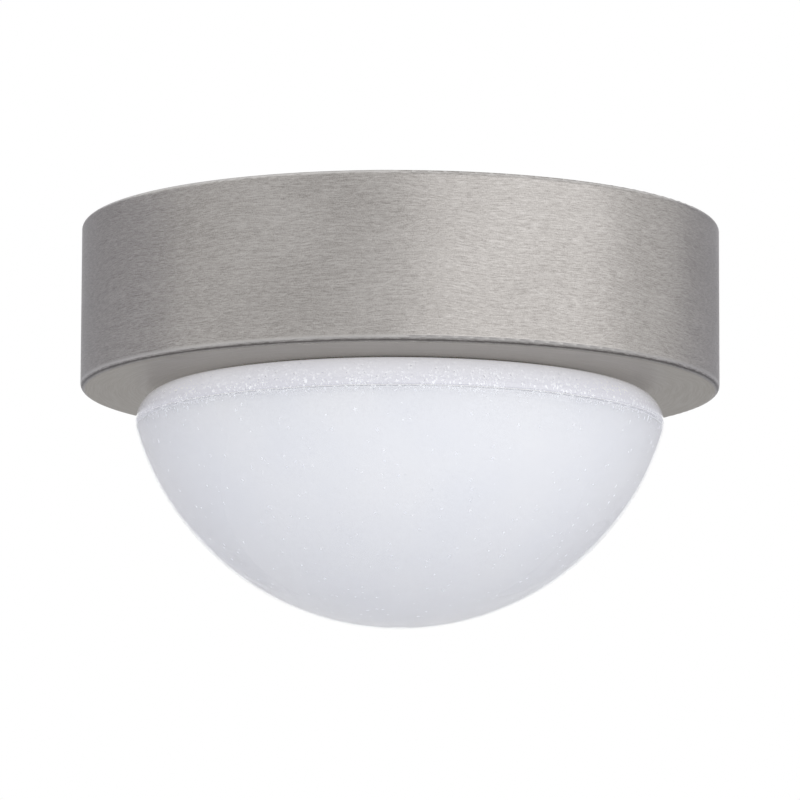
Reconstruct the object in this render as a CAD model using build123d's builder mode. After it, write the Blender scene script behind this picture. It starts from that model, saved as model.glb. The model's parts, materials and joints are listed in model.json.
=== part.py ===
from build123d import *
import math
import os

# A small round ceiling light: a brushed steel drum with a screw-in seeded dome.
# Sizes are in millimetres. The ceiling is the plane z = 0, the light hangs below it,
# and its axis is Z.

# Drum, one deep-drawn cup that is open towards the ceiling
drum_d = 130.0
drum_h = 34.0
drum_sheet = 0.8
drum_fold_r = 1.3
drum_rim_r = 1.2
drum_rim_w = 3.5

# Dome, as seen from outside
dome_d = 107.4
dome_reach = 48.0
dome_gap = 0.3
shoulder_r = 6.2
shell_wall = 3.0
seam_chamfer = 0.2
diffuser_wall = 1.6
diffuser_gap = 0.3
inner_step = 1.3

# Neck of the dome and the ring that it screws into
dome_land = 6.75
neck_wall = 3.25
neck_inset = 1.0
neck_edge_r = 0.6
thread_pitch = 6.0
thread_depth = 1.5
thread_root_w = 2.8
thread_crest_w = 1.4
thread_turns = 1.15
thread_end_gap = 0.2
thread_clear = 0.35
thread_bite = 0.5
collar_h = 12.0
collar_wall = 1.0
collar_fit = 0.4
flange_t = 2.0
flange_margin = 4.5

# Seal between dome and drum
seal_w = 1.8
seal_h = 1.6
seal_side_clear = 0.3
seal_end_clear = 0.1
seal_margin = 0.3
seal_edge_r = 0.3

# Mounting plate, its foam and its cable entry
foam_t = 1.5
foam_w = 3.0
foam_inset = 0.5
foam_head_gap = 0.8
plate_t = 1.0
plate_fit = 0.5
slot_spacing = 60.0
slot_l = 14.0
slot_w = 5.0
entry_d = 9.0
entry_hole_d = 12.0
entry_wall_clear = 0.05
entry_top_d = 17.0
entry_under_d = 15.0
entry_under_t = 2.0
entry_edge_r = 0.5

# Fasteners
thread_fit = 0.05
hole_fit = 0.2
drive_w = 0.7
drive_l_share = 0.55
drive_depth_share = 0.5
head_round_share = 0.3
tip_chamfer_share = 0.15
m3 = 3.0
m3_head_d = 5.6
m3_head_h = 1.6
m3_low_head_h = 1.1
stud_grip = 6.0
pan_screw_l = 7.0
bore_spare = 1.5
pillar_af = 5.5
pillar_count = 3
pillar_angle = 90.0

# Light source
tray_rise = 1.0
tray_t = 1.5
tray_reach = 1.5
tray_edge_r = 0.4
post_inset = 3.5
spigot_d = 4.0
tray_screw_l = 7.0
board_inset = 9.0
board_t = 1.2
board_screw_circle_r = 18.0
board_screw_d = 2.5
board_screw_head_d = 4.5
board_screw_head_h = 1.4
board_screw_spare = 0.4
chip_l = 3.5
chip_w = 2.8
chip_t = 0.8
outer_chip_circle_r = 24.0
outer_chip_count = 12
inner_chip_circle_r = 12.0
inner_chip_count = 6
plug_l = 5.5
plug_w = 6.0
plug_h = 3.0
plug_inset = 1.5
plug_chamfer = 0.45
plug_angle = 30.0

# Driver
driver_l = 44.0
driver_w = 17.0
driver_h = 12.5
driver_wall = 1.5
driver_back_gap = 1.3
driver_corner_r = 1.5
lid_t = 1.2
lid_lip_h = 1.0
lid_lip_w = 1.0
lid_clear = 0.2
ear_l = 6.0
ear_w = 8.0
ear_t = 2.0
ear_screw_inset = 3.0
driver_screw_spare = 1.0
circuit_t = 1.4
circuit_clear = 0.3
rail_w = 2.0
rail_h = 1.5
core_l = 13.0
core_w = 11.0
core_h = 5.5
bobbin_l = 7.0
bobbin_over = 0.7
can_offset = 13.0
mains_can_d = 8.0
mains_can_h = 5.5
output_can_d = 6.3
output_can_h = 5.0
can_edge_r = 0.5

# Terminal block and earth point
block_l = 29.0
block_w = 15.0
block_h = 12.0
block_gap = 5.5
block_edge_r = 0.8
pole_pitch = 9.5
pole_count = 3
pole_drop = 6.0
insert_l = 11.0
insert_w = 4.6
insert_h = 5.2
insert_bore_d = 2.9
insert_clear = 0.1
clamp_spread = 3.2
clamp_d = 2.5
clamp_sink = 0.6
clamp_tip_gap = 0.2
fixing_d = 2.2
fixing_head_d = 3.8
fixing_head_h = 1.6
fixing_sink = 3.0
fixing_spare = 1.0
earth_gap = 8.5
earth_d = 4.0
earth_head_d = 7.5
earth_head_h = 2.6
earth_screw_spare = 1.0
washer_t = 0.8
lug_d = 8.0
lug_t = 0.8
lug_tongue_w = 3.4
barrel_d = 3.4
barrel_drop = 2.1
barrel_start = 4.0
barrel_l = 4.5

# Wires
wire_d = 2.0
wire_clear = 0.2
wire_grip = 5.0
wire_tail = 2.0
wire_run_x = 17.5
wire_turn_out = 8.0
wire_bend_r = 3.9
earth_run_out = 3.0
earth_run_in = 2.0
earth_grip = 3.5
earth_bend_r = 3.5
lead_d = 1.2
lead_spread = 0.9
lead_drop = 7.5
lead_bend_r = 2.0
lead_hole_d = 4.8
lead_edge_gap = 2.5

# Drum and dome radii and levels that follow from the sizes above
drum_r = drum_d / 2
rim_in_r = drum_r - drum_rim_w
floor_z = -drum_h + drum_sheet
dome_r = dome_d / 2
shoulder_flat_r = dome_r - shoulder_r
dome_top_z = -drum_h - dome_gap
seam_z = dome_top_z - shoulder_r
dome_bottom_z = -drum_h - dome_reach
shell_in_r = dome_r - shell_wall
diffuser_r = shell_in_r - diffuser_gap
diffuser_in_r = diffuser_r - diffuser_wall
diffuser_bottom_z = dome_bottom_z + shell_wall + diffuser_gap

# Neck, thread and ring
neck_r = shoulder_flat_r - dome_land
neck_in_r = neck_r - neck_wall
collar_top_z = -drum_h + collar_h
neck_top_z = collar_top_z - neck_inset
crest_r = neck_r + thread_depth
collar_in_r = neck_r + thread_clear
groove_r = crest_r + thread_clear
collar_r = groove_r + collar_wall
drum_hole_r = collar_r + collar_fit
flange_top_z = floor_z + flange_t
rib_root_r = neck_r - thread_bite
rib_end_z = neck_top_z - thread_end_gap - thread_root_w / 2
rib_start_z = rib_end_z - thread_turns * thread_pitch
ridge_root_r = groove_r + thread_bite

# Seal
rebate_in_r = drum_hole_r + seal_margin
seal_in_r = rebate_in_r + seal_side_clear
seal_r = seal_in_r + seal_w
rebate_r = seal_r + seal_side_clear
seal_under_z = -drum_h - dome_gap + seal_end_clear - seal_h
rebate_under_z = seal_under_z - seal_end_clear

# Plate and pillars
plate_top_z = -foam_t
plate_under_z = plate_top_z - plate_t
plate_r = rim_in_r - plate_fit
foam_r = plate_r - foam_inset
foam_in_r = foam_r - foam_w
stud_circle_r = foam_in_r - foam_head_gap - m3_head_d / 2
pillar_corner_r = pillar_af / math.sqrt(3)
post_circle_r = neck_in_r - post_inset

# Light source
tray_under_z = collar_top_z + tray_rise
tray_top_z = tray_under_z + tray_t
tray_r = neck_in_r + tray_reach
board_r = tray_r - board_inset
board_under_z = tray_under_z - board_t
plug_face_r = board_r - plug_inset
lead_circle_r = board_r + lead_edge_gap
plug_dir = Vector(math.cos(math.radians(plug_angle)), math.sin(math.radians(plug_angle)), 0)
plug_side = Vector(-plug_dir.Y, plug_dir.X, 0)

# Driver
driver_y = post_circle_r - pillar_corner_r - driver_back_gap - driver_w / 2
driver_front_y = driver_y - driver_w / 2
case_h = driver_h - lid_t
case_under_z = plate_under_z - case_h
room_l = driver_l - 2 * driver_wall
room_w = driver_w - 2 * driver_wall
lip_l = room_l - 2 * lid_clear
lip_w = room_w - 2 * lid_clear
circuit_top_z = plate_under_z - driver_wall - rail_h
circuit_under_z = circuit_top_z - circuit_t
ear_screw_x = driver_l / 2 + ear_screw_inset

# Terminal block, earth point and wires
block_y = -(entry_under_d / 2 + block_gap + block_w / 2)
block_out_y = block_y - block_w / 2
block_under_z = plate_under_z - block_h
pole_z = plate_under_z - pole_drop
fixing_x = pole_pitch / 2
barrel_z = plate_under_z - barrel_drop
barrel_end_y = block_out_y - earth_gap
earth_y = barrel_end_y - barrel_l - barrel_start
wire_turn_y = block_out_y - wire_turn_out
lead_z = plate_under_z - lead_drop


def drilled(d, fit=thread_fit):
    """Radius of a hole for a shank of diameter d."""
    return d / 2 + fit


def screw(d, length, head_d, head_h):
    """A cross-recessed screw that points up, with the underside of its head at the origin."""
    recess_l = drive_l_share * head_d
    recess_depth = drive_depth_share * head_h
    with BuildPart() as made:
        Cylinder(head_d / 2, head_h, align=(Align.CENTER, Align.CENTER, Align.MAX))
        fillet(made.edges().group_by(Axis.Z)[0], head_round_share * head_h)
        with Locations((0, 0, -head_h)):
            Box(recess_l, drive_w, 2 * recess_depth, mode=Mode.SUBTRACT)
            Box(drive_w, recess_l, 2 * recess_depth, mode=Mode.SUBTRACT)
        Cylinder(d / 2, length, align=(Align.CENTER, Align.CENTER, Align.MIN))
        chamfer(made.edges().group_by(Axis.Z)[-1], tip_chamfer_share * d)
    return made.part


def rib_w(r):
    """Width of the neck's rib at radius r."""
    return thread_root_w - (thread_root_w - thread_crest_w) * (r - neck_r) / thread_depth


def ridge_w(r):
    """Width of the ring's ridge at radius r: the rest of the pitch, less a clearance on each flank."""
    return thread_pitch - rib_w(r) - 2 * thread_clear


def helical_tooth(start_z, end_z, root_r, root_w, tip_r, tip_w):
    """A right-hand helical tooth, whose middle climbs from start_z, over the X axis, to end_z."""
    with BuildPart() as made:
        with BuildLine() as path:
            Helix(thread_pitch, end_z - start_z, (root_r + tip_r) / 2, center=(0, 0, start_z))
        with BuildSketch(Plane.XZ):
            with BuildLine():
                Polyline(
                    (root_r, start_z - root_w / 2),
                    (tip_r, start_z - tip_w / 2),
                    (tip_r, start_z + tip_w / 2),
                    (root_r, start_z + root_w / 2),
                    close=True,
                )
            make_face()
        sweep(path=path.line, is_frenet=True)
    return made.part


def pillar(length, spigot_l, bore_l, top_bore_l):
    """A hexagon pillar that stands on the origin, with a bore at its foot and a spigot or a bore on top."""
    with BuildPart() as made:
        with BuildSketch():
            RegularPolygon(pillar_af / 2, 6, major_radius=False)
        extrude(amount=length)
        Cylinder(
            drilled(m3), bore_l, align=(Align.CENTER, Align.CENTER, Align.MIN), mode=Mode.SUBTRACT
        )
        with Locations((0, 0, length)):
            if spigot_l:
                Cylinder(spigot_d / 2, spigot_l, align=(Align.CENTER, Align.CENTER, Align.MIN))
            if top_bore_l:
                Cylinder(
                    drilled(m3),
                    top_bore_l,
                    align=(Align.CENTER, Align.CENTER, Align.MAX),
                    mode=Mode.SUBTRACT,
                )
    return made.part


os.makedirs("parts", exist_ok=True)

# Drum: flat floor with the neck's hole, straight wall, rim turned in at the ceiling
with BuildPart() as housing_drum:
    with BuildSketch(Plane.XZ):
        with BuildLine():
            FilletPolyline(
                (rim_in_r, 0),
                (drum_r, 0),
                (drum_r, -drum_h),
                (drum_hole_r, -drum_h),
                radius=[drum_rim_r, drum_fold_r],
            )
            offset(amount=drum_sheet, side=Side.RIGHT)
        make_face()
    revolve(axis=Axis.Z)
housing_drum.part.label = "housing_drum"
export_step(housing_drum.part, "parts/housing_drum.step")

# Studs welded to the floor, which the ring and the standoffs are tightened on
with BuildPart(Plane.XY.offset(floor_z)) as weld_studs:
    with PolarLocations(stud_circle_r, pillar_count, pillar_angle):
        Cylinder(m3 / 2, flange_t + stud_grip, align=(Align.CENTER, Align.CENTER, Align.MIN))
    chamfer(weld_studs.edges().group_by(Axis.Z)[-1], tip_chamfer_share * m3)
weld_studs.part.label = "weld_studs"
export_step(weld_studs.part, "parts/weld_studs.step")

# Ring with the internal thread: a collar through the drum's hole and a flange on its floor
# Its ridge runs half a pitch below the neck's rib.
ridge_end_gap = ridge_w(ridge_root_r) / 2 + thread_end_gap
ridge_start_z = -drum_h + ridge_end_gap
ridge_lead = ridge_start_z - (rib_start_z - thread_pitch / 2)
ridge = helical_tooth(
    ridge_start_z,
    collar_top_z - ridge_end_gap,
    ridge_root_r,
    ridge_w(ridge_root_r),
    collar_in_r,
    ridge_w(collar_in_r),
)
with BuildPart() as thread_ring:
    with BuildSketch(Plane.XZ):
        with BuildLine():
            Polyline(
                (groove_r, -drum_h),
                (collar_r, -drum_h),
                (collar_r, floor_z),
                (stud_circle_r + flange_margin, floor_z),
                (stud_circle_r + flange_margin, flange_top_z),
                (collar_r, flange_top_z),
                (collar_r, collar_top_z),
                (groove_r, collar_top_z),
                close=True,
            )
        make_face()
    revolve(axis=Axis.Z)
    add(ridge, rotation=(0, 0, 360 * ridge_lead / thread_pitch))
    with Locations((0, 0, flange_top_z)):
        with PolarLocations(stud_circle_r, pillar_count, pillar_angle):
            Hole(drilled(m3, hole_fit))
thread_ring.part.label = "thread_ring"
export_step(thread_ring.part, "parts/thread_ring.step")

# Standoffs from the ring up to the mounting plate
standoff = pillar(
    plate_under_z - flange_top_z, 0, stud_grip + bore_spare, pan_screw_l - plate_t + bore_spare
)
with BuildPart(Plane.XY.offset(flange_top_z)) as ring_standoffs:
    with PolarLocations(stud_circle_r, pillar_count, pillar_angle):
        add(standoff)
ring_standoffs.part.label = "ring_standoffs"
export_step(ring_standoffs.part, "parts/ring_standoffs.step")

# Mounting plate: slots along X for the ceiling screws and holes for what it carries
with BuildPart() as mounting_plate:
    with BuildSketch(Plane.XY.offset(plate_under_z)):
        Circle(plate_r)
        Circle(entry_hole_d / 2, mode=Mode.SUBTRACT)
        with Locations((-slot_spacing / 2, 0), (slot_spacing / 2, 0)):
            SlotOverall(slot_l, slot_w, mode=Mode.SUBTRACT)
        with PolarLocations(stud_circle_r, pillar_count, pillar_angle):
            Circle(drilled(m3, hole_fit), mode=Mode.SUBTRACT)
        with PolarLocations(post_circle_r, pillar_count, pillar_angle):
            Circle(drilled(spigot_d), mode=Mode.SUBTRACT)
        with Locations((-ear_screw_x, driver_y), (ear_screw_x, driver_y)):
            Circle(drilled(m3), mode=Mode.SUBTRACT)
        with Locations((-fixing_x, block_y), (fixing_x, block_y)):
            Circle(drilled(fixing_d), mode=Mode.SUBTRACT)
        with Locations((0, earth_y)):
            Circle(drilled(earth_d), mode=Mode.SUBTRACT)
    extrude(amount=plate_t)
mounting_plate.part.label = "mounting_plate"
export_step(mounting_plate.part, "parts/mounting_plate.step")

# Low-headed screws through the plate into the standoffs
pan_screw = screw(m3, pan_screw_l, m3_head_d, m3_low_head_h)
with BuildPart(Plane.XY.offset(plate_top_z)) as pan_screws:
    with PolarLocations(stud_circle_r, pillar_count, pillar_angle):
        add(pan_screw, rotation=(180, 0, 0))
pan_screws.part.label = "pan_screws"
export_step(pan_screws.part, "parts/pan_screws.step")

# Foam ring between plate and ceiling
with BuildPart() as ceiling_gasket:
    with BuildSketch(Plane.XY.offset(plate_top_z)):
        Circle(foam_r)
        Circle(foam_in_r, mode=Mode.SUBTRACT)
    extrude(amount=foam_t)
ceiling_gasket.part.label = "ceiling_gasket"
export_step(ceiling_gasket.part, "parts/ceiling_gasket.step")

# Rubber grommet in the plate's centre hole, whose top meets the ceiling
with BuildPart() as cable_grommet:
    with BuildSketch(Plane.XZ):
        with BuildLine():
            Polyline(
                (entry_d / 2, 0),
                (entry_top_d / 2, 0),
                (entry_top_d / 2, plate_top_z),
                (entry_hole_d / 2 - entry_wall_clear, plate_top_z),
                (entry_hole_d / 2 - entry_wall_clear, plate_under_z),
                (entry_under_d / 2, plate_under_z),
                (entry_under_d / 2, plate_under_z - entry_under_t),
                (entry_d / 2, plate_under_z - entry_under_t),
                close=True,
            )
        make_face()
    revolve(axis=Axis.Z)
    outer_edges = cable_grommet.edges().filter_by(GeomType.CIRCLE).group_by(Axis.Z)
    fillet(outer_edges[0].sort_by(SortBy.RADIUS)[-1], entry_edge_r)
    fillet(outer_edges[-1].sort_by(SortBy.RADIUS)[-1], entry_edge_r)
cable_grommet.part.label = "cable_grommet"
export_step(cable_grommet.part, "parts/cable_grommet.step")

# Posts riveted into the plate, which carry the light source
post = pillar(plate_under_z - tray_top_z, plate_t, tray_screw_l - tray_t + bore_spare, 0)
with BuildPart(Plane.XY.offset(tray_top_z)) as tray_posts:
    with PolarLocations(post_circle_r, pillar_count, pillar_angle):
        add(post)
tray_posts.part.label = "tray_posts"
export_step(tray_posts.part, "parts/tray_posts.step")

# Aluminium tray, which takes the heat of the light source
with BuildPart() as led_tray:
    with BuildSketch(Plane.XY.offset(tray_under_z)):
        Circle(tray_r)
        with PolarLocations(post_circle_r, pillar_count, pillar_angle):
            Circle(drilled(m3, hole_fit), mode=Mode.SUBTRACT)
        with PolarLocations(board_screw_circle_r, pillar_count, pillar_angle):
            Circle(drilled(board_screw_d), mode=Mode.SUBTRACT)
        with PolarLocations(lead_circle_r, 1, plug_angle):
            Circle(lead_hole_d / 2, mode=Mode.SUBTRACT)
    extrude(amount=tray_t)
    fillet(led_tray.edges().filter_by(GeomType.CIRCLE).sort_by(SortBy.RADIUS)[-2:], tray_edge_r)
led_tray.part.label = "led_tray"
export_step(led_tray.part, "parts/led_tray.step")

# Screws through the tray into the posts
tray_screw = screw(m3, tray_screw_l, m3_head_d, m3_head_h)
with BuildPart(Plane.XY.offset(tray_under_z)) as tray_screws:
    with PolarLocations(post_circle_r, pillar_count, pillar_angle):
        add(tray_screw)
tray_screws.part.label = "tray_screws"
export_step(tray_screws.part, "parts/tray_screws.step")

# Round circuit board of the light source
with BuildPart() as led_board:
    with BuildSketch(Plane.XY.offset(board_under_z)):
        Circle(board_r)
        with PolarLocations(board_screw_circle_r, pillar_count, pillar_angle):
            Circle(drilled(board_screw_d, hole_fit), mode=Mode.SUBTRACT)
    extrude(amount=board_t)
led_board.part.label = "led_board"
export_step(led_board.part, "parts/led_board.step")

# Light-emitting chips in two rings, on the board's underside
with BuildPart(Plane.XY.offset(board_under_z)) as led_chips:
    with PolarLocations(outer_chip_circle_r, outer_chip_count, 180 / outer_chip_count):
        Box(chip_w, chip_l, chip_t, align=(Align.CENTER, Align.CENTER, Align.MAX))
    with PolarLocations(inner_chip_circle_r, inner_chip_count):
        Box(chip_w, chip_l, chip_t, align=(Align.CENTER, Align.CENTER, Align.MAX))
led_chips.part.label = "led_chips"
export_step(led_chips.part, "parts/led_chips.step")

# Screws through the board into the tray
board_screw = screw(
    board_screw_d, board_t + tray_t + board_screw_spare, board_screw_head_d, board_screw_head_h
)
with BuildPart(Plane.XY.offset(board_under_z)) as board_screws:
    with PolarLocations(board_screw_circle_r, pillar_count, pillar_angle):
        add(board_screw)
board_screws.part.label = "board_screws"
export_step(board_screws.part, "parts/board_screws.step")

# Plug on the board's underside, open towards the leads
with BuildPart(Plane.XY.offset(board_under_z)) as board_connector:
    with PolarLocations(plug_face_r, 1, plug_angle):
        Box(plug_l, plug_w, plug_h, align=(Align.MAX, Align.CENTER, Align.MAX))
    chamfer(board_connector.edges().group_by(Axis.Z)[0], plug_chamfer)
board_connector.part.label = "board_connector"
export_step(board_connector.part, "parts/board_connector.step")

# Driver's case: a tub that opens downwards, with an ear at each end and rails for the circuit
with BuildPart(Plane((0, driver_y, plate_under_z))) as driver_case:
    Box(driver_l, driver_w, case_h, align=(Align.CENTER, Align.CENTER, Align.MAX))
    fillet(driver_case.edges().filter_by(Axis.Z), driver_corner_r)
    with Locations((0, 0, -driver_wall)):
        Box(
            room_l,
            room_w,
            case_h,
            align=(Align.CENTER, Align.CENTER, Align.MAX),
            mode=Mode.SUBTRACT,
        )
        with Locations((-(room_l - rail_w) / 2, 0), ((room_l - rail_w) / 2, 0)):
            Box(rail_w, room_w, rail_h, align=(Align.CENTER, Align.CENTER, Align.MAX))
    for side in (-1, 1):
        with Locations((side * driver_l / 2, 0)):
            with Locations((side * (ear_l - driver_wall) / 2, 0)):
                Box(ear_l + driver_wall, ear_w, ear_t, align=(Align.CENTER, Align.CENTER, Align.MAX))
        with Locations((side * ear_screw_x, 0)):
            Hole(drilled(m3, hole_fit))
        with Locations((side * wire_run_x, -driver_w / 2, pole_z - plate_under_z)):
            Cylinder(
                drilled(wire_d, wire_clear), 3 * driver_wall, rotation=(90, 0, 0), mode=Mode.SUBTRACT
            )
        lead_exit = plug_dir * lead_circle_r + plug_side * side * lead_spread
        with Locations((driver_l / 2, lead_exit.Y - driver_y, lead_z - plate_under_z)):
            Cylinder(
                drilled(lead_d, wire_clear), 3 * driver_wall, rotation=(0, 90, 0), mode=Mode.SUBTRACT
            )
driver_case.part.label = "driver_case"
export_step(driver_case.part, "parts/driver_case.step")

# Driver's lid, with a lip that snaps inside the tub
with BuildPart(Plane((0, driver_y, case_under_z))) as driver_lid:
    Box(driver_l, driver_w, lid_t, align=(Align.CENTER, Align.CENTER, Align.MAX))
    fillet(driver_lid.edges().filter_by(Axis.Z), driver_corner_r)
    Box(lip_l, lip_w, lid_lip_h, align=(Align.CENTER, Align.CENTER, Align.MIN))
    Box(
        lip_l - 2 * lid_lip_w,
        lip_w - 2 * lid_lip_w,
        lid_lip_h,
        align=(Align.CENTER, Align.CENTER, Align.MIN),
        mode=Mode.SUBTRACT,
    )
driver_lid.part.label = "driver_lid"
export_step(driver_lid.part, "parts/driver_lid.step")

# Screws through the driver's ears into the plate
driver_screw = screw(m3, ear_t + plate_t + driver_screw_spare, m3_head_d, m3_head_h)
with BuildPart(Plane((0, driver_y, plate_under_z - ear_t))) as driver_screws:
    with Locations((-ear_screw_x, 0), (ear_screw_x, 0)):
        add(driver_screw)
driver_screws.part.label = "driver_screws"
export_step(driver_screws.part, "parts/driver_screws.step")

# Driver's circuit, against the rails
with BuildPart(Plane((0, driver_y, circuit_under_z))) as driver_board:
    Box(
        room_l - 2 * circuit_clear,
        room_w - 2 * circuit_clear,
        circuit_t,
        align=(Align.CENTER, Align.CENTER, Align.MIN),
    )
driver_board.part.label = "driver_board"
export_step(driver_board.part, "parts/driver_board.step")

# Transformer: a ferrite core with its bobbin bulging at the sides
with BuildPart(Plane((0, driver_y, circuit_under_z))) as driver_transformer:
    Box(core_l, core_w, core_h, align=(Align.CENTER, Align.CENTER, Align.MAX))
    with Locations((0, 0, -bobbin_over)):
        Box(
            bobbin_l,
            core_w + 2 * bobbin_over,
            core_h - 2 * bobbin_over,
            align=(Align.CENTER, Align.CENTER, Align.MAX),
        )
driver_transformer.part.label = "driver_transformer"
export_step(driver_transformer.part, "parts/driver_transformer.step")

# Capacitors at the mains end and at the output end
with BuildPart(Plane((0, driver_y, circuit_under_z))) as driver_capacitors:
    with Locations((-can_offset, 0)):
        Cylinder(mains_can_d / 2, mains_can_h, align=(Align.CENTER, Align.CENTER, Align.MAX))
    with Locations((can_offset, 0)):
        Cylinder(output_can_d / 2, output_can_h, align=(Align.CENTER, Align.CENTER, Align.MAX))
    fillet(driver_capacitors.edges().sort_by(Axis.Z)[:2], can_edge_r)
driver_capacitors.part.label = "driver_capacitors"
export_step(driver_capacitors.part, "parts/driver_capacitors.step")

# Terminal block: three poles across X, wires along Y, clamp screws from below
with BuildPart(Plane((0, block_y, plate_under_z))) as terminal_block:
    Box(block_l, block_w, block_h, align=(Align.CENTER, Align.CENTER, Align.MAX))
    fillet(terminal_block.edges().filter_by(Axis.Z), block_edge_r)
    fillet(terminal_block.edges().group_by(Axis.Z)[0], block_edge_r)
    with Locations((0, 0, -pole_drop)):
        with GridLocations(pole_pitch, 0, pole_count, 1):
            Box(
                insert_w + 2 * insert_clear,
                insert_l + 2 * insert_clear,
                insert_h + 2 * insert_clear,
                mode=Mode.SUBTRACT,
            )
            Cylinder(
                drilled(insert_bore_d, wire_clear), block_w, rotation=(90, 0, 0), mode=Mode.SUBTRACT
            )
        with GridLocations(pole_pitch, 2 * clamp_spread, pole_count, 2):
            Cylinder(
                drilled(clamp_d, hole_fit),
                block_h,
                align=(Align.CENTER, Align.CENTER, Align.MAX),
                mode=Mode.SUBTRACT,
            )
    with GridLocations(2 * fixing_x, 0, 2, 1):
        Hole(drilled(fixing_d, hole_fit))
        with Locations((0, 0, fixing_sink - block_h)):
            Cylinder(
                drilled(fixing_head_d, hole_fit),
                block_h,
                align=(Align.CENTER, Align.CENTER, Align.MAX),
                mode=Mode.SUBTRACT,
            )
terminal_block.part.label = "terminal_block"
export_step(terminal_block.part, "parts/terminal_block.step")

# Brass inserts, one to a pole, bored for the wires and tapped for the clamp screws
with BuildPart(Plane((0, block_y, pole_z))) as terminal_inserts:
    with GridLocations(pole_pitch, 0, pole_count, 1):
        Box(insert_w, insert_l, insert_h)
        Cylinder(insert_bore_d / 2, insert_l, rotation=(90, 0, 0), mode=Mode.SUBTRACT)
    with GridLocations(pole_pitch, 2 * clamp_spread, pole_count, 2):
        Cylinder(
            drilled(clamp_d),
            insert_h,
            align=(Align.CENTER, Align.CENTER, Align.MAX),
            mode=Mode.SUBTRACT,
        )
terminal_inserts.part.label = "terminal_inserts"
export_step(terminal_inserts.part, "parts/terminal_inserts.step")

# Clamp screws, two to a pole, slotted at the lower end
clamp_under_z = block_under_z + clamp_sink
clamp_tip_z = pole_z - wire_d / 2 - clamp_tip_gap
with BuildPart(Plane((0, block_y, clamp_under_z))) as terminal_screws:
    with GridLocations(pole_pitch, 2 * clamp_spread, pole_count, 2):
        Cylinder(
            clamp_d / 2, clamp_tip_z - clamp_under_z, align=(Align.CENTER, Align.CENTER, Align.MIN)
        )
        Box(clamp_d, drive_w, 2 * drive_w, mode=Mode.SUBTRACT)
terminal_screws.part.label = "terminal_screws"
export_step(terminal_screws.part, "parts/terminal_screws.step")

# Screws between the poles, which hold the block to the plate
fixing = screw(
    fixing_d, block_h - fixing_sink + plate_t + fixing_spare, fixing_head_d, fixing_head_h
)
with BuildPart(Plane((0, block_y, block_under_z + fixing_sink))) as terminal_fixings:
    with GridLocations(2 * fixing_x, 0, 2, 1):
        add(fixing)
terminal_fixings.part.label = "terminal_fixings"
export_step(terminal_fixings.part, "parts/terminal_fixings.step")

# Earth lug: an eye under the plate, with a barrel that the earth wire goes into
with BuildPart() as earth_lug:
    with BuildSketch(Plane((0, earth_y, plate_under_z))):
        Circle(lug_d / 2)
        with Locations((0, (barrel_start + barrel_l / 2) / 2)):
            Rectangle(lug_tongue_w, barrel_start + barrel_l / 2)
    extrude(amount=-lug_t)
    with Locations((0, barrel_end_y - barrel_l / 2, barrel_z)):
        Cylinder(barrel_d / 2, barrel_l, rotation=(90, 0, 0))
        Cylinder(drilled(wire_d), barrel_l, rotation=(90, 0, 0), mode=Mode.SUBTRACT)
    with Locations((0, earth_y, plate_under_z)):
        Hole(drilled(earth_d, hole_fit))
earth_lug.part.label = "earth_lug"
export_step(earth_lug.part, "parts/earth_lug.step")

# Washer under the earth screw's head
with BuildPart() as earth_washer:
    with BuildSketch(Plane((0, earth_y, plate_under_z - lug_t))):
        Circle(lug_d / 2)
        Circle(drilled(earth_d, hole_fit), mode=Mode.SUBTRACT)
    extrude(amount=-washer_t)
earth_washer.part.label = "earth_washer"
export_step(earth_washer.part, "parts/earth_washer.step")

# Earth screw into the plate
earth_stack = lug_t + washer_t
earth_fixing = screw(earth_d, earth_stack + plate_t + earth_screw_spare, earth_head_d, earth_head_h)
with BuildPart(Plane((0, earth_y, plate_under_z - earth_stack))) as earth_screw:
    add(earth_fixing)
earth_screw.part.label = "earth_screw"
export_step(earth_screw.part, "parts/earth_screw.step")

# Wires: straight runs joined by arcs, each as a start, corners and an end
wire_start_y = block_out_y + wire_grip
driver_end_y = driver_front_y + wire_tail
lead_start_x = driver_l / 2 - wire_tail
plug_z = board_under_z - plug_h / 2


def supply_route(side):
    """From a pole, round the end of the block, to the driver's front."""
    return [
        (side * pole_pitch, wire_start_y, pole_z),
        (side * pole_pitch, wire_turn_y, pole_z),
        (side * wire_run_x, wire_turn_y, pole_z),
        (side * wire_run_x, driver_end_y, pole_z),
    ]


def lead_route(side):
    """From the driver's end, down through the tray, to the plug."""
    over_hole = plug_dir * lead_circle_r + plug_side * side * lead_spread
    at_plug = plug_dir * plug_face_r + plug_side * side * lead_spread
    return [
        (lead_start_x, over_hole.Y, lead_z),
        (over_hole.X, over_hole.Y, lead_z),
        (over_hole.X, over_hole.Y, plug_z),
        (at_plug.X, at_plug.Y, plug_z),
    ]


earth_route = [
    (0, wire_start_y, pole_z),
    (0, block_out_y - earth_run_out, pole_z),
    (0, barrel_end_y + earth_run_in, barrel_z),
    (0, barrel_end_y - earth_grip, barrel_z),
]
wires = {
    "live_wire": (supply_route(-1), wire_bend_r, wire_d),
    "neutral_wire": (supply_route(1), wire_bend_r, wire_d),
    "earth_wire": (earth_route, earth_bend_r, wire_d),
    "led_lead_red": (lead_route(-1), lead_bend_r, lead_d),
    "led_lead_black": (lead_route(1), lead_bend_r, lead_d),
}
for wire_name, (route, bend_r, d) in wires.items():
    with BuildPart() as wire:
        with BuildLine() as run:
            FilletPolyline(*route, radius=bend_r)
        with BuildSketch(Plane(run.line @ 0, z_dir=run.line % 0)):
            Circle(d / 2)
        sweep(path=run.line)
    swept = math.pi * d**2 / 4 * run.wire().length
    print(f"{wire_name}: bends {bend_r} mm, volume {wire.part.volume:.2f} of {swept:.2f} mm3")
    wire.part.label = wire_name
    export_step(wire.part, f"parts/{wire_name}.step")

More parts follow.
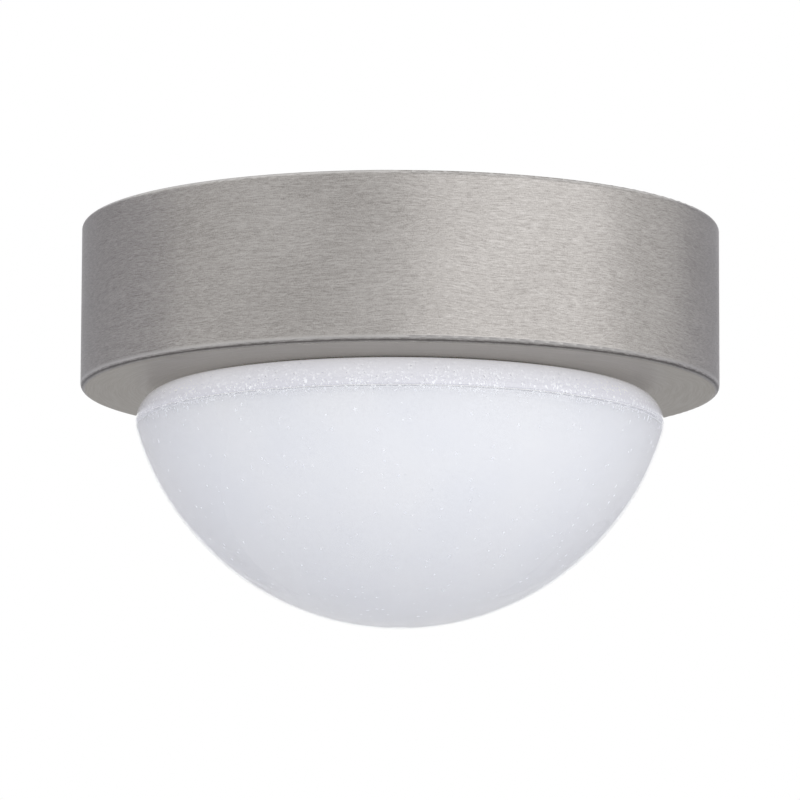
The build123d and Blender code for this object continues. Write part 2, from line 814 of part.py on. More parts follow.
# Dome's outline: a ball below, joined by a round shoulder to the flat top
# The ball's centre lies on the axis, above the dome's top, where ball and shoulder run on smoothly.
dome_depth = dome_top_z - dome_bottom_z
ball_rise = (shoulder_flat_r**2 + shoulder_r**2 - (dome_depth - shoulder_r) ** 2) / (
    2 * (dome_depth - 2 * shoulder_r)
)
ball_r = dome_depth + ball_rise
ball_centre = Vector(0, dome_top_z + ball_rise)
shoulder_centre = Vector(shoulder_flat_r, seam_z)
ball_out = (shoulder_centre - ball_centre).normalized()
ball_end = ball_centre + ball_out * ball_r

# Clear bowl below the dome's widest circle
with BuildPart() as dome_shell:
    with BuildSketch(Plane.XZ):
        with BuildLine():
            TangentArc((0, dome_bottom_z), ball_end, tangent=(1, 0))
            TangentArc(ball_end, (dome_r, seam_z), tangent=(-ball_out.Y, ball_out.X))
            Line((dome_r, seam_z), (shell_in_r, seam_z))
            TangentArc((0, dome_bottom_z + shell_wall), (shell_in_r, seam_z), tangent=(1, 0))
            Line((0, dome_bottom_z + shell_wall), (0, dome_bottom_z))
        make_face()
    revolve(axis=Axis.Z)
    rim = dome_shell.edges().filter_by(GeomType.CIRCLE).group_by(Axis.Z)[-1]
    chamfer(rim.sort_by(SortBy.RADIUS)[-1], seam_chamfer)
dome_shell.part.label = "dome_shell"
export_step(dome_shell.part, "parts/dome_shell.step")

# White bowl inside the clear one, held by its rim
with BuildPart() as inner_diffuser:
    with BuildSketch(Plane.XZ):
        with BuildLine():
            TangentArc((0, diffuser_bottom_z), (diffuser_r, seam_z), tangent=(1, 0))
            Line((diffuser_r, seam_z), (diffuser_in_r, seam_z))
            TangentArc(
                (0, diffuser_bottom_z + diffuser_wall), (diffuser_in_r, seam_z), tangent=(1, 0)
            )
            Line((0, diffuser_bottom_z + diffuser_wall), (0, diffuser_bottom_z))
        make_face()
    revolve(axis=Axis.Z)
inner_diffuser.part.label = "inner_diffuser"
export_step(inner_diffuser.part, "parts/inner_diffuser.step")

# Clear shoulder with the threaded neck, bonded to the bowl at the widest circle
rib = helical_tooth(
    rib_start_z, rib_end_z, rib_root_r, rib_w(rib_root_r), crest_r, thread_crest_w
)
with BuildPart() as neck_ring:
    with BuildSketch(Plane.XZ):
        with BuildLine():
            Polyline(
                (neck_in_r, neck_top_z),
                (neck_r, neck_top_z),
                (neck_r, dome_top_z),
                (rebate_in_r, dome_top_z),
                (rebate_in_r, rebate_under_z),
                (rebate_r, rebate_under_z),
                (rebate_r, dome_top_z),
                (shoulder_flat_r, dome_top_z),
            )
            TangentArc((shoulder_flat_r, dome_top_z), (dome_r, seam_z), tangent=(1, 0))
            Polyline(
                (dome_r, seam_z),
                (diffuser_in_r, seam_z),
                (diffuser_in_r, seam_z + inner_step),
                (neck_in_r, seam_z + inner_step),
                (neck_in_r, neck_top_z),
            )
        make_face()
    revolve(axis=Axis.Z)
    rims = neck_ring.edges().filter_by(GeomType.CIRCLE).group_by(Axis.Z)
    chamfer(rims[0].sort_by(SortBy.RADIUS)[-1], seam_chamfer)
    fillet(rims[-1], neck_edge_r)
    add(rib)
neck_ring.part.label = "neck_ring"
export_step(neck_ring.part, "parts/neck_ring.step")

# Silicone ring in the dome's top, which the drum's floor presses on
with BuildPart() as dome_gasket:
    with BuildSketch(Plane.XY.offset(seal_under_z)):
        Circle(seal_r)
        Circle(seal_in_r, mode=Mode.SUBTRACT)
    extrude(amount=seal_h)
    fillet(dome_gasket.edges().filter_by(GeomType.CIRCLE), seal_edge_r)
dome_gasket.part.label = "dome_gasket"
export_step(dome_gasket.part, "parts/dome_gasket.step")
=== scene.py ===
import json
import math

import bpy
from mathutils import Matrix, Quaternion, Vector

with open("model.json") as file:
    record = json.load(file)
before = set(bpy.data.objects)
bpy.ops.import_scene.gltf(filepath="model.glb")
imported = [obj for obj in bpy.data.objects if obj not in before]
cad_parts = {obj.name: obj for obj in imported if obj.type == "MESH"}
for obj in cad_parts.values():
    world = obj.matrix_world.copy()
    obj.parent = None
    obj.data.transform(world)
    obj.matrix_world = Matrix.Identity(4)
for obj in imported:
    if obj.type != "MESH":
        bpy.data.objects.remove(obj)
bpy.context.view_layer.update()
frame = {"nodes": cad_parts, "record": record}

# Sizes that the looks follow, in millimetres, as in the part's source
DRUM_R = 65.0
DRUM_H = 34.0
FOLD_R = 1.3
DOME_R = 53.7
DOME_TOP = -34.3
DOME_BOTTOM = -82.0
SHOULDER_R = 6.2
SEAM_CHAMFER = 0.2
OUTER_CHIP_CIRCLE_R = 24.0
INNER_CHIP_CIRCLE_R = 12.0
SEAM = DOME_TOP - SHOULDER_R
FLAT_R = DOME_R - SHOULDER_R
DOME_DEPTH = DOME_TOP - DOME_BOTTOM
BALL_RISE = (FLAT_R**2 + SHOULDER_R**2 - (DOME_DEPTH - SHOULDER_R) ** 2) / (
    2 * (DOME_DEPTH - 2 * SHOULDER_R)
)
BALL_R = DOME_DEPTH + BALL_RISE
BALL_Z = DOME_TOP + BALL_RISE
MM_PER_M = 1000.0

# Clear plastic
PLASTIC_IOR = 1.49
PLASTIC_GLOSS = 0.04

# Noise runs from 0 to 1 about its middle, and most of it lies between low and high
NOISE_MIDDLE = 0.5
NOISE_LOW = 0.3
NOISE_HIGH = 0.7


class Look:
    """A node material round one Principled shader. Its textures are measured in millimetres."""

    def __init__(self, name, sockets):
        self.material = bpy.data.materials.new(name)
        self.material.use_nodes = True
        self.tree = self.material.node_tree
        self.shader = self.tree.nodes["Principled BSDF"]
        for socket, value in sockets.items():
            self.shader.inputs[socket].default_value = value
        place = self.node("ShaderNodeTexCoord").outputs["Object"]
        self.point = self.vector("SCALE", place, scale=MM_PER_M)

    def node(self, kind, **settings):
        made = self.tree.nodes.new(kind)
        for name, value in settings.items():
            setattr(made, name, value)
        return made

    def feed(self, socket, value):
        """Links an output to a socket, or sets the socket to a plain value."""
        if isinstance(value, bpy.types.NodeSocket):
            self.tree.links.new(value, socket)
        else:
            socket.default_value = value

    def math(self, operation, first, *others):
        """One operation over sockets and numbers, from left to right."""
        for other in others:
            made = self.node("ShaderNodeMath", operation=operation)
            self.feed(made.inputs[0], first)
            self.feed(made.inputs[1], other)
            first = made.outputs[0]
        return first

    def function(self, operation, value):
        """A function of one value, such as its root."""
        made = self.node("ShaderNodeMath", operation=operation)
        self.feed(made.inputs[0], value)
        return made.outputs[0]

    def plus(self, *terms):
        return self.math("ADD", *terms)

    def minus(self, first, second):
        return self.math("SUBTRACT", first, second)

    def times(self, *factors):
        return self.math("MULTIPLY", *factors)

    def over(self, first, second):
        return self.math("DIVIDE", first, second)

    def most(self, *masks):
        return self.math("MAXIMUM", *masks)

    def centred(self, noise):
        """Noise that swings about nought."""
        return self.minus(noise, NOISE_MIDDLE)

    def length(self, first, second):
        """Length of what goes first along one axis and second along the other."""
        return self.function("SQRT", self.plus(self.times(first, first), self.times(second, second)))

    def vector(self, operation, first, second=(0.0, 0.0, 0.0), scale=1.0):
        made = self.node("ShaderNodeVectorMath", operation=operation)
        self.feed(made.inputs[0], first)
        if operation == "SCALE":
            self.feed(made.inputs["Scale"], scale)
        else:
            self.feed(made.inputs[1], second)
        return made.outputs[0]

    def axes(self):
        made = self.node("ShaderNodeSeparateXYZ")
        self.feed(made.inputs[0], self.point)
        return made.outputs[0], made.outputs[1], made.outputs[2]

    def radius(self):
        """Distance from the light's axis."""
        x, y, _ = self.axes()
        return self.length(x, y)

    def combine(self, x, y, z):
        made = self.node("ShaderNodeCombineXYZ")
        for socket, value in zip(made.inputs, (x, y, z)):
            self.feed(socket, value)
        return made.outputs[0]

    def noise_node(self, size, detail, at):
        made = self.node("ShaderNodeTexNoise")
        self.feed(made.inputs["Vector"], at)
        made.inputs["Scale"].default_value = 1 / size
        made.inputs["Detail"].default_value = detail
        return made

    def noise(self, size, detail=2.0, stretch=(1.0, 1.0, 1.0)):
        """Cloudy noise whose blotches are about size across, longer where stretch is over 1."""
        return self.noise_node(size, detail, self.vector("DIVIDE", self.point, stretch)).outputs[0]

    def noise_at(self, x, y, z, detail):
        """Noise over coordinates of its own, in which its blotches are about 1 across."""
        return self.noise_node(1.0, detail, self.combine(x, y, z)).outputs[0]

    def wobbled(self, size, reach):
        """The point, pushed to and fro by noise of that size, at most by about half of reach."""
        push = self.noise_node(size, 0.0, self.point).outputs["Color"]
        push = self.vector("SUBTRACT", push, (NOISE_MIDDLE, NOISE_MIDDLE, NOISE_MIDDLE))
        return self.vector("ADD", self.point, self.vector("SCALE", push, scale=reach))

    def cells(self, size, at):
        """Cells about size across, each with a colour of its own by chance."""
        made = self.node("ShaderNodeTexVoronoi")
        self.feed(made.inputs["Vector"], at)
        made.inputs["Scale"].default_value = 1 / size
        chance = self.node("ShaderNodeSeparateColor")
        self.feed(chance.inputs[0], made.outputs["Color"])
        return made.outputs["Distance"], chance.outputs

    def dots(self, cell, small, large, crowd, shift=(0.0, 0.0, 0.0), share=1.0, tall=1.0):
        """Uneven dots of small to large radius, drawn out upwards by tall.

        A cell has one where its chances lie under crowd and share.
        """
        wobble_size, wobble_reach = 0.22, 0.66
        place = self.vector("DIVIDE", self.wobbled(wobble_size, wobble_reach), (1.0, 1.0, tall))
        away, chance = self.cells(cell, self.vector("ADD", place, shift))
        radius = self.span(chance[0], 0.0, 1.0, small / cell, large / cell)
        dot = self.span(self.over(away, radius), 0.5, 1.0, 1.0, 0.0)
        shown = self.math("LESS_THAN", chance[1], crowd)
        if share < 1.0:
            shown = self.times(shown, self.math("LESS_THAN", chance[2], share))
        return self.times(dot, shown)

    def span(self, value, start, end, low, high):
        """Takes start to end over to low to high, smoothly and with no overshoot."""
        made = self.node("ShaderNodeMapRange", interpolation_type="SMOOTHSTEP")
        self.feed(made.inputs["Value"], value)
        for socket, number in (("From Min", start), ("From Max", end), ("To Min", low), ("To Max", high)):
            made.inputs[socket].default_value = number
        return made.outputs[0]

    def spread(self, noise, low, high):
        """Takes noise over to low to high."""
        return self.span(noise, NOISE_LOW, NOISE_HIGH, low, high)

    def band(self, value, rise, fall, end=0.0):
        """A mask that comes in over the stretch rise and goes down to end over the stretch fall."""
        return self.times(self.span(value, *rise, 0.0, 1.0), self.span(value, *fall, 1.0, end))

    def ramp(self, value, *stops):
        made = self.node("ShaderNodeValToRGB")
        self.feed(made.inputs[0], value)
        points = made.color_ramp.elements
        while len(points) < len(stops):
            points.new(0.5)
        for point, (position, colour) in zip(points, stops):
            point.position = position
            point.color = (*colour, 1.0)
        return made.outputs[0]

    def tones(self, noise, dark, light):
        """A colour that goes with noise from dark to light."""
        return self.ramp(noise, (NOISE_LOW, dark), (NOISE_HIGH, light))

    def mix(self, share, first, second):
        """The colour first, with as much of second over it as share says."""
        made = self.node("ShaderNodeMix", data_type="RGBA")
        self.feed(made.inputs[0], share)
        for socket, colour in ((made.inputs[6], first), (made.inputs[7], second)):
            self.feed(socket, (*colour, 1.0) if isinstance(colour, tuple) else colour)
        return made.outputs[2]

    def put(self, socket, value):
        self.feed(self.shader.inputs[socket], value)

    def bump(self, height, depth, strength=1.0):
        """Relief of about depth millimetres. A second call adds to the first."""
        made = self.node("ShaderNodeBump")
        made.inputs["Strength"].default_value = strength
        made.inputs["Distance"].default_value = depth / MM_PER_M
        self.feed(made.inputs["Height"], height)
        normal = self.shader.inputs["Normal"]
        if normal.is_linked:
            self.feed(made.inputs["Normal"], normal.links[0].from_socket)
        self.feed(normal, made.outputs[0])


def shades(colour, spread):
    """A darker and a lighter tone of one colour."""
    return tuple(c * (1 - spread) for c in colour), tuple(min(1.0, c * (1 + spread)) for c in colour)


def grainy(name, colour, spread, size, roughness, relief, sockets=None, stretch=(1.0, 1.0, 1.0)):
    """A surface whose tone, gloss and relief follow one fine grain, with a wide soft cloud over it."""
    cloud_size, cloud_share, gloss_swing = 14.0, 0.3, 0.06
    look = Look(name, sockets or {})
    grain = look.noise(size, detail=3.0, stretch=stretch)
    cloud = look.noise(cloud_size, detail=1.0)
    both = look.plus(look.times(grain, 1 - cloud_share), look.times(cloud, cloud_share))
    look.put("Base Color", look.tones(both, *shades(colour, spread)))
    look.put("Roughness", look.spread(grain, roughness - gloss_swing, roughness + gloss_swing))
    look.bump(grain, relief)
    return look.material


def brushed_nickel():
    """Satin nickel with short brush strokes that run round the drum, on its wall, fold and floor alike."""
    dark, plain, light = (0.265, 0.250, 0.238), (0.372, 0.353, 0.338), (0.480, 0.460, 0.444)
    scratched, underside_painted_light = (0.62, 0.605, 0.59), (0.405, 0.376, 0.318)
    wear_and_highlight, fold_painted_shade = (0.66, 0.645, 0.63), (0.10, 0.095, 0.09)
    look = Look("brushed_nickel", {"Metallic": 1.0, "Specular Tint": (0.80, 0.80, 0.81, 1.0)})
    x, y, z = look.axes()
    r = look.radius()
    drift_size, drift_reach = 16.0, 2.6
    drift = look.times(look.centred(look.noise(drift_size, detail=0.0)), drift_reach)
    across = look.plus(z, r, drift)

    def drawn_out(length, width, detail):
        """Noise whose blotches run along the brush's way."""
        return look.noise_at(look.over(x, length), look.over(y, length), look.over(across, width), detail)

    strokes = drawn_out(length=1.7, width=0.12, detail=3.0)
    streaks = drawn_out(length=9.0, width=0.35, detail=2.0)
    cloud = look.noise(size=22.0, detail=1.0)
    grit = look.centred(look.noise(size=0.22, detail=1.0))
    weights = ((strokes, 0.6), (streaks, 0.25), (cloud, 0.15), (grit, 0.34))
    tone = look.plus(*(look.times(noise, weight) for noise, weight in weights))
    metal = look.ramp(tone, (0.35, dark), (0.5, plain), (0.65, light))

    scratch_length, scratch_width, scratch_share = 5.0, 0.16, 0.22
    rare, rarest = 0.77, 0.84
    along = look.times(look.math("ARCTAN2", x, look.times(y, -1.0)), DRUM_R)
    for slope in (-0.55, 0.6):
        cross = look.over(look.plus(across, look.times(along, slope)), scratch_width)
        hair = look.noise_at(cross, look.over(along, scratch_length), slope, detail=0.0)
        metal = look.mix(look.span(hair, rare, rarest, 0.0, scratch_share), metal, scratched)

    # The fold and the top corner are lighter, partly wear and partly a painted highlight, with ends that
    # follow the strokes
    floor, fold = -DRUM_H, FOLD_R - DRUM_H
    underside_share, edge_share, corner_share, line_share, raggedness = 0.75, 0.65, 0.8, 0.8, 0.5
    # Painted light: the drum's floor takes a lighter, warmer tone, lifting the downward face that the lamps
    # leave dark
    metal = look.mix(look.span(z, floor + 0.04, floor + 0.1, underside_share, 0.0), metal, underside_painted_light)
    height = look.plus(z, look.times(look.centred(strokes), raggedness))
    edge = look.band(height, (fold - 0.6, fold - 0.4), (fold - 0.45, fold + 0.4))
    top = look.span(height, -0.9, -0.3, 0.0, corner_share)
    corner = look.times(top, look.span(r, DRUM_R - 0.7, DRUM_R - 0.3, 0.0, 1.0))
    metal = look.mix(look.most(look.times(edge, edge_share), corner), metal, wear_and_highlight)
    # A thin dark line just under the fold is painted shade in the bend
    fold_shade_band = look.band(height, (fold - 1.1, fold - 0.95), (fold - 0.8, fold - 0.65))
    look.put("Base Color", look.mix(look.times(fold_shade_band, line_share), metal, fold_painted_shade))
    look.put("Roughness", look.spread(streaks, 0.30, 0.40))
    look.bump(strokes, depth=0.012, strength=0.6)
    return look.material


def seeds(look):
    """Masks of the seeds' painted glints and painted shadow sides. They lie closest just above the seam, in
    flocks.
    """
    small_cell, large_cell, shadow_side = 0.6, 1.4, (0.2, 0.12, 0.22)
    _, _, z = look.axes()
    flock = look.span(look.noise(size=5.0, detail=1.0), 0.40, 0.60, 0.6, 1.0)
    band = look.band(z, (SEAM - 1.4, SEAM + 0.2), (SEAM + 1.6, SEAM + 4.6), end=0.28)
    fine = look.times(band, flock, 0.95)
    wide = look.span(z, SEAM - 3.0, SEAM, 0.26, 0.32)
    few = look.span(z, SEAM - 3.0, SEAM, 0.03, 0.30)
    seed_glint = look.most(
        look.dots(small_cell, small=0.17, large=0.36, crowd=fine),
        look.dots(large_cell, small=0.15, large=0.34, crowd=wide, tall=1.6),
    )
    # The dark dots are the same seeds shifted to one side: painted shade on each seed's shadow side
    dark = look.most(
        look.dots(small_cell, small=0.10, large=0.24, crowd=fine, shift=shadow_side, share=0.4),
        look.dots(large_cell, small=0.12, large=0.24, crowd=few, shift=shadow_side, share=0.2),
    )
    return seed_glint, dark


def clear_seeded():
    """Clear seeded plastic of the bowl. Its inner side, next to the diffuser, is half clear, half white."""
    seam_painted_shade, seed_shade_colour, seed_glint_colour = (0.70, 0.71, 0.76), (0.68, 0.695, 0.73), (0.93, 0.955, 1.0)
    inner_clear, inner_roughness, seam_share, lip_glow, seed_glint_glow = 0.5, 0.25, 0.24, 0.19, 0.09
    look = Look("clear_seeded", {"IOR": PLASTIC_IOR, "Emission Color": (0.97, 0.975, 1.0, 1.0)})
    _, _, z = look.axes()
    r = look.radius()

    def past(centre_r, centre_z, reach):
        """Where the point is further than reach from a centre in the outline's plane."""
        away = look.length(look.minus(r, centre_r), look.minus(z, centre_z))
        return look.math("GREATER_THAN", away, reach)

    # The outer side lies on the shoulder's round just below the seam, and on the ball further down
    shoulder_slack, flat_slack, ball_slack = 0.08, 0.05, 0.06
    shoulder_end, ball_start = SEAM - 2.5, SEAM - 1.5
    shoulder = look.times(
        past(FLAT_R, SEAM, SHOULDER_R - shoulder_slack),
        look.math("GREATER_THAN", r, FLAT_R - flat_slack),
        look.math("GREATER_THAN", z, shoulder_end),
        look.math("LESS_THAN", z, SEAM - SEAM_CHAMFER),
    )
    ball = look.times(past(0.0, BALL_Z, BALL_R - ball_slack), look.math("LESS_THAN", z, ball_start))
    outside = look.most(shoulder, ball)

    seed_glint, dark = seeds(look)
    cloud = look.noise(size=16.0)
    clear = look.tones(cloud, (0.926, 0.937, 0.98), (0.948, 0.958, 0.99))
    backed = look.tones(cloud, (0.95, 0.963, 0.995), (0.97, 0.978, 1.0))
    colour = look.mix(outside, backed, clear)
    # Painted shade: the bowl darkens towards the seam
    near_seam = look.span(z, SEAM - 1.6, SEAM - SEAM_CHAMFER, 0.0, seam_share)
    colour = look.mix(near_seam, colour, seam_painted_shade)
    # Seeds are painted: a darker shadow side and a white glint over the body
    colour = look.mix(dark, colour, seed_shade_colour)
    look.put("Base Color", look.mix(seed_glint, colour, seed_glint_colour))
    bare = look.minus(1.0, look.most(seed_glint, dark))
    below_seam = look.math("LESS_THAN", z, SEAM - 0.15)
    through = look.span(outside, 0.0, 1.0, inner_clear, 1.0)
    look.put("Transmission Weight", look.times(through, below_seam, bare))
    # The seam's lip and the seeds' glints glow faintly: painted light
    lip = look.times(
        look.span(z, SEAM - SEAM_CHAMFER - 0.01, SEAM - SEAM_CHAMFER + 0.01, 0.0, lip_glow),
        look.span(r, DOME_R - 0.32, DOME_R - 0.26, 0.15, 1.0),
    )
    look.put("Emission Strength", look.plus(lip, look.times(seed_glint, seed_glint_glow)))
    look.put("Roughness", look.span(outside, 0.0, 1.0, inner_roughness, PLASTIC_GLOSS))
    look.bump(look.noise(size=7.0, detail=1.0), depth=0.03, strength=0.5)
    look.bump(seed_glint, depth=0.04, strength=0.6)
    return look.material


def clear_neck():
    """The same plastic on the solid neck, milky with its own thickness.

    Where the drum shades it, the neck glows: painted light that stands in for light the plastic carries up
    from the bowl.
    """
    seam_painted_shade, seed_shade_colour, seed_glint_colour = (0.70, 0.705, 0.77), (0.58, 0.59, 0.62), (0.92, 0.94, 0.98)
    shade_reach, fill_glow_share, seam_share, lip_glow, seed_glint_glow = 25.0, 0.50, 0.9, 0.05, 0.12
    sockets = {
        "Coat Weight": 1.0,
        "Coat Roughness": PLASTIC_GLOSS,
        "Coat IOR": PLASTIC_IOR,
        "Specular IOR Level": 0.2,
        "Emission Color": (0.935, 0.94, 1.0, 1.0),
    }
    look = Look("clear_neck", sockets)
    _, _, z = look.axes()
    seed_glint, dark = seeds(look)
    cloud = look.noise(size=16.0)
    body = look.tones(cloud, (0.775, 0.78, 0.85), (0.825, 0.83, 0.89))
    # Painted shade: the neck darkens towards the seam
    body = look.mix(look.span(z, SEAM, SEAM + 2.6, seam_share, 0.0), body, seam_painted_shade)
    # Seeds are painted here too: a darker shadow side and a white glint
    look.put("Base Color", look.mix(seed_glint, look.mix(dark, body, seed_shade_colour), seed_glint_colour))
    look.put("Roughness", look.spread(cloud, 0.34, 0.42))
    look.bump(look.noise(size=7.0, detail=1.0), depth=0.02, strength=0.4)
    look.bump(seed_glint, depth=0.04, strength=0.6)
    # Painted fill light: the neck glows by as much as the drum shades it
    open_air = look.node("ShaderNodeAmbientOcclusion", samples=16)
    open_air.inputs["Distance"].default_value = shade_reach / MM_PER_M
    shaded = look.minus(1.0, open_air.outputs["AO"])
    painted_fill_glow = look.times(shaded, fill_glow_share, look.minus(1.0, look.times(dark, 0.6)))
    # The chamfer's lip and the seeds' glints glow faintly too: painted light
    lip = look.span(z, SEAM + SEAM_CHAMFER, SEAM + SEAM_CHAMFER + 0.1, lip_glow, 0.0)
    look.put("Emission Strength", look.plus(painted_fill_glow, lip, look.times(seed_glint, seed_glint_glow)))
    return look.material


def opal_white():
    """White diffuser with a soft, slightly uneven body."""
    look = Look("opal_white", {"Specular IOR Level": 0.3})
    grain = look.noise(size=0.5)
    cloud = look.noise(size=18.0)
    look.put("Base Color", look.tones(cloud, (0.945, 0.957, 0.98), (0.965, 0.973, 0.99)))
    look.put("Roughness", look.spread(grain, 0.5, 0.62))
    look.bump(grain, depth=0.01, strength=0.4)
    return look.material


def zinc_steel():
    """Bright zinc plate: pale crystals a few millimetres across and a faint rolling grain."""
    look = Look("zinc_steel", {"Metallic": 1.0})
    _, chance = look.cells(size=2.2, at=look.point)
    grain = look.noise(size=0.5, detail=3.0, stretch=(8.0, 1.0, 1.0))
    tone = look.plus(look.times(chance[0], 0.6), look.times(grain, 0.4))
    look.put("Base Color", look.ramp(tone, (0.2, (0.49, 0.503, 0.517)), (0.8, (0.575, 0.585, 0.595))))
    look.put("Roughness", look.span(chance[1], 0.0, 1.0, 0.30, 0.44))
    look.bump(grain, depth=0.008, strength=0.4)
    return look.material


def foam_black():
    """Closed-cell foam with small open pores on its cut face."""
    look = Look("foam_black", {"Specular IOR Level": 0.25})
    away, _ = look.cells(size=0.55, at=look.point)
    wall = look.span(away, 0.1, 0.6, 0.0, 1.0)
    look.put("Base Color", look.ramp(wall, (0.0, (0.012, 0.012, 0.013)), (1.0, (0.045, 0.045, 0.047))))
    look.put("Roughness", look.span(wall, 0.0, 1.0, 0.95, 0.8))
    look.bump(wall, depth=0.12, strength=0.8)
    return look.material


def led_phosphor():
    """LED packages: a yellow window in a white frame, set out on the board's two circles."""
    frame_white = (0.86, 0.86, 0.84)
    window_half, frame_start = 0.95, 1.1
    look = Look("led_phosphor", {"Specular IOR Level": 0.4})
    r = look.radius()
    to_outer = look.function("ABSOLUTE", look.minus(r, OUTER_CHIP_CIRCLE_R))
    to_inner = look.function("ABSOLUTE", look.minus(r, INNER_CHIP_CIRCLE_R))
    to_circle = look.math("MINIMUM", to_outer, to_inner)
    window = look.span(to_circle, window_half, frame_start, 1.0, 0.0)
    grain = look.noise(size=0.3)
    yellow = look.tones(grain, (0.80, 0.56, 0.10), (0.92, 0.70, 0.18))
    look.put("Base Color", look.mix(window, frame_white, yellow))
    look.put("Roughness", look.spread(grain, 0.3, 0.5))
    look.bump(grain, depth=0.01, strength=0.4)
    return look.material


def earth_pvc():
    """Green wire insulation with a yellow stripe along its top and its underside."""
    stripe_yellow = (0.72, 0.55, 0.05)
    stripe_half, green_start = 0.36, 0.44
    look = Look("pvc_green_yellow", {"Specular IOR Level": 0.45})
    x, _, _ = look.axes()
    stripe = look.span(look.function("ABSOLUTE", x), stripe_half, green_start, 1.0, 0.0)
    grain = look.noise(size=0.4)
    green = look.tones(grain, (0.045, 0.21, 0.05), (0.06, 0.26, 0.065))
    look.put("Base Color", look.mix(stripe, green, stripe_yellow))
    look.put("Roughness", look.spread(grain, 0.32, 0.45))
    look.bump(grain, depth=0.008, strength=0.4)
    return look.material


# Plain materials, as grainy takes them: colour, spread, size, roughness, relief, sockets, stretch
METAL = {"Metallic": 1.0}
SOFT = {"Subsurface Weight": 0.2, "Subsurface Scale": 0.001}
GRAINY = {
    "rubber_black": ((0.022, 0.022, 0.023), 0.35, 0.35, 0.62, 0.02),
    "silicone_white": ((0.74, 0.74, 0.71), 0.04, 0.5, 0.45, 0.01, SOFT),
    "moulded_white": ((0.76, 0.76, 0.73), 0.04, 0.35, 0.48, 0.015),
    "tray_aluminium": ((0.60, 0.61, 0.62), 0.10, 0.3, 0.34, 0.01, METAL, (12.0, 1.0, 1.0)),
    "solder_mask_white": ((0.78, 0.79, 0.78), 0.03, 0.6, 0.38, 0.008),
    "circuit_green": ((0.020, 0.105, 0.045), 0.2, 0.6, 0.36, 0.01),
    "ferrite": ((0.040, 0.040, 0.044), 0.3, 0.4, 0.58, 0.03),
    "can_black": ((0.022, 0.022, 0.030), 0.2, 0.5, 0.3, 0.006),
    "brass": ((0.62, 0.44, 0.17), 0.10, 0.3, 0.33, 0.008, METAL, (1.0, 1.0, 6.0)),
    "pvc_brown": ((0.090, 0.040, 0.020), 0.15, 0.4, 0.38, 0.008),
    "pvc_blue": ((0.025, 0.120, 0.42), 0.12, 0.4, 0.38, 0.008),
    "pvc_red": ((0.40, 0.020, 0.016), 0.12, 0.4, 0.38, 0.008),
    "pvc_black": ((0.018, 0.018, 0.019), 0.2, 0.4, 0.38, 0.008),
}
looks = {
    "brushed_nickel": brushed_nickel(),
    "clear_seeded": clear_seeded(),
    "opal_white": opal_white(),
    "zinc_steel": zinc_steel(),
    "foam_black": foam_black(),
    "led_phosphor": led_phosphor(),
    "pvc_green_yellow": earth_pvc(),
}
for name, values in GRAINY.items():
    looks[name] = grainy(name, *values)
for subpart in frame["record"]["subparts"]:
    mesh = frame["nodes"][subpart["node"]].data
    mesh.materials.clear()
    mesh.materials.append(looks[subpart["material_slot"]])
frame["nodes"]["neck_ring"].data.materials[0] = clear_neck()

# Clear plastic lets the light through to the white behind it
for name in ("dome_shell", "neck_ring"):
    frame["nodes"][name].visible_shadow = False
    frame["nodes"][name].visible_diffuse = False


def link(name, data):
    made = bpy.data.objects.new(name, data)
    bpy.context.scene.collection.objects.link(made)
    return made


def board(name, corners, colour):
    """One four-cornered, almost even, matt face."""
    mesh = bpy.data.meshes.new(name)
    mesh.from_pydata(corners, [], [(0, 1, 2, 3)])
    mesh.materials.append(grainy(name, colour, spread=0.01, size=9.0, roughness=0.8, relief=0.0))
    return mesh


def round_about(azimuth, distance, height=0.0):
    """A place round the light, azimuth degrees to the right of the camera's side, in metres."""
    turn = math.radians(azimuth)
    return distance * math.sin(turn), -distance * math.cos(turn), height


def lay_floor():
    """The room's floor, a usual ceiling height below the light."""
    half, z = 30.0, -2.4
    corners = [(-half, -half, z), (half, -half, z), (half, half, z), (-half, half, z)]
    mesh = board("floor", corners, (0.84, 0.84, 0.86))
    link("floor", mesh)


def stand_flag(name, azimuth, distance, width, tall):
    """A pale grey board beside the view, which darkens the edges of metal and clear plastic a little."""
    x, z = width / 2, tall / 2
    corners = [(-x, 0, -z), (x, 0, -z), (x, 0, z), (-x, 0, z)]
    made = link(name, board(name, corners, (0.77, 0.77, 0.80)))
    made.location = round_about(azimuth, distance)
    made.rotation_euler = (0, 0, math.radians(azimuth))
    made.visible_camera = False


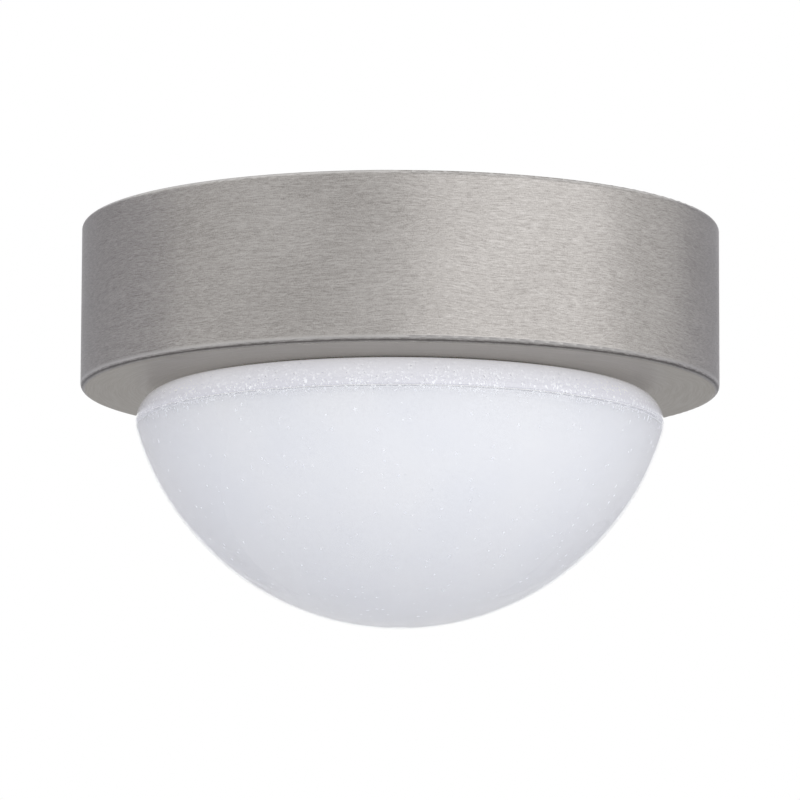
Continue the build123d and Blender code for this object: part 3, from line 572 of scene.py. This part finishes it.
def light_world():
    """White all round to the eye, in mirrors and through clear plastic, and a lower level as light."""
    as_light, as_seen = 0.80, 1.0
    world = bpy.data.worlds.new("studio")
    bpy.context.scene.world = world
    world.use_nodes = True
    tree = world.node_tree
    path = tree.nodes.new("ShaderNodeLightPath")
    shown = path.outputs["Is Camera Ray"]
    for kind in ("Is Glossy Ray", "Is Transmission Ray"):
        either = tree.nodes.new("ShaderNodeMath")
        either.operation = "MAXIMUM"
        tree.links.new(shown, either.inputs[0])
        tree.links.new(path.outputs[kind], either.inputs[1])
        shown = either.outputs[0]
    level = tree.nodes.new("ShaderNodeMapRange")
    level.inputs["To Min"].default_value = as_light
    level.inputs["To Max"].default_value = as_seen
    tree.links.new(shown, level.inputs["Value"])
    sky = tree.nodes["Background"]
    sky.inputs["Color"].default_value = (1.0, 1.0, 1.0, 1.0)
    tree.links.new(level.outputs[0], sky.inputs["Strength"])


def hang_lamp(name, azimuth, height, distance, width, tall, power, mirrored=True):
    """A soft rectangular lamp round the light, turned to its middle."""
    middle = Vector((0, 0, -0.04))
    lamp = bpy.data.lights.new(name, "AREA")
    lamp.shape = "RECTANGLE"
    lamp.size = width
    lamp.size_y = tall
    lamp.energy = power
    made = link(name, lamp)
    made.location = round_about(azimuth, distance, height)
    made.rotation_mode = "QUATERNION"
    made.rotation_quaternion = (middle - made.location).to_track_quat("-Z", "Y")
    made.visible_camera = False
    made.visible_glossy = mirrored


def aim_camera():
    """The photograph's view: a long lens a little below the light, looking up at it."""
    rise, roll = math.radians(8.76), math.radians(0.22)
    distance = 1.3
    target = Vector((0.00002, 0, -0.03545))
    ahead = Vector((0, math.cos(rise), math.sin(rise)))
    camera = link("camera", bpy.data.cameras.new("camera"))
    camera.data.sensor_width = 36
    camera.data.lens = 287.4
    camera.data.clip_end = 100
    camera.location = target - distance * ahead
    camera.rotation_mode = "QUATERNION"
    camera.rotation_quaternion = ahead.to_track_quat("-Z", "Y") @ Quaternion((0, 0, 1), roll)
    bpy.context.scene.camera = camera


lay_floor()
stand_flag("flag_left", azimuth=-127, distance=2.2, width=3.4, tall=2.8)
stand_flag("flag_right", azimuth=141, distance=2.2, width=1.9, tall=2.8)
light_world()
hang_lamp("key", azimuth=43, height=0.25, distance=1.6, width=2.55, tall=1.5, power=8.0)
hang_lamp("front", azimuth=-18, height=0.2, distance=1.8, width=1.6, tall=1.2, power=4.2, mirrored=False)
aim_camera()
bpy.context.scene.view_settings.view_transform = "Standard"
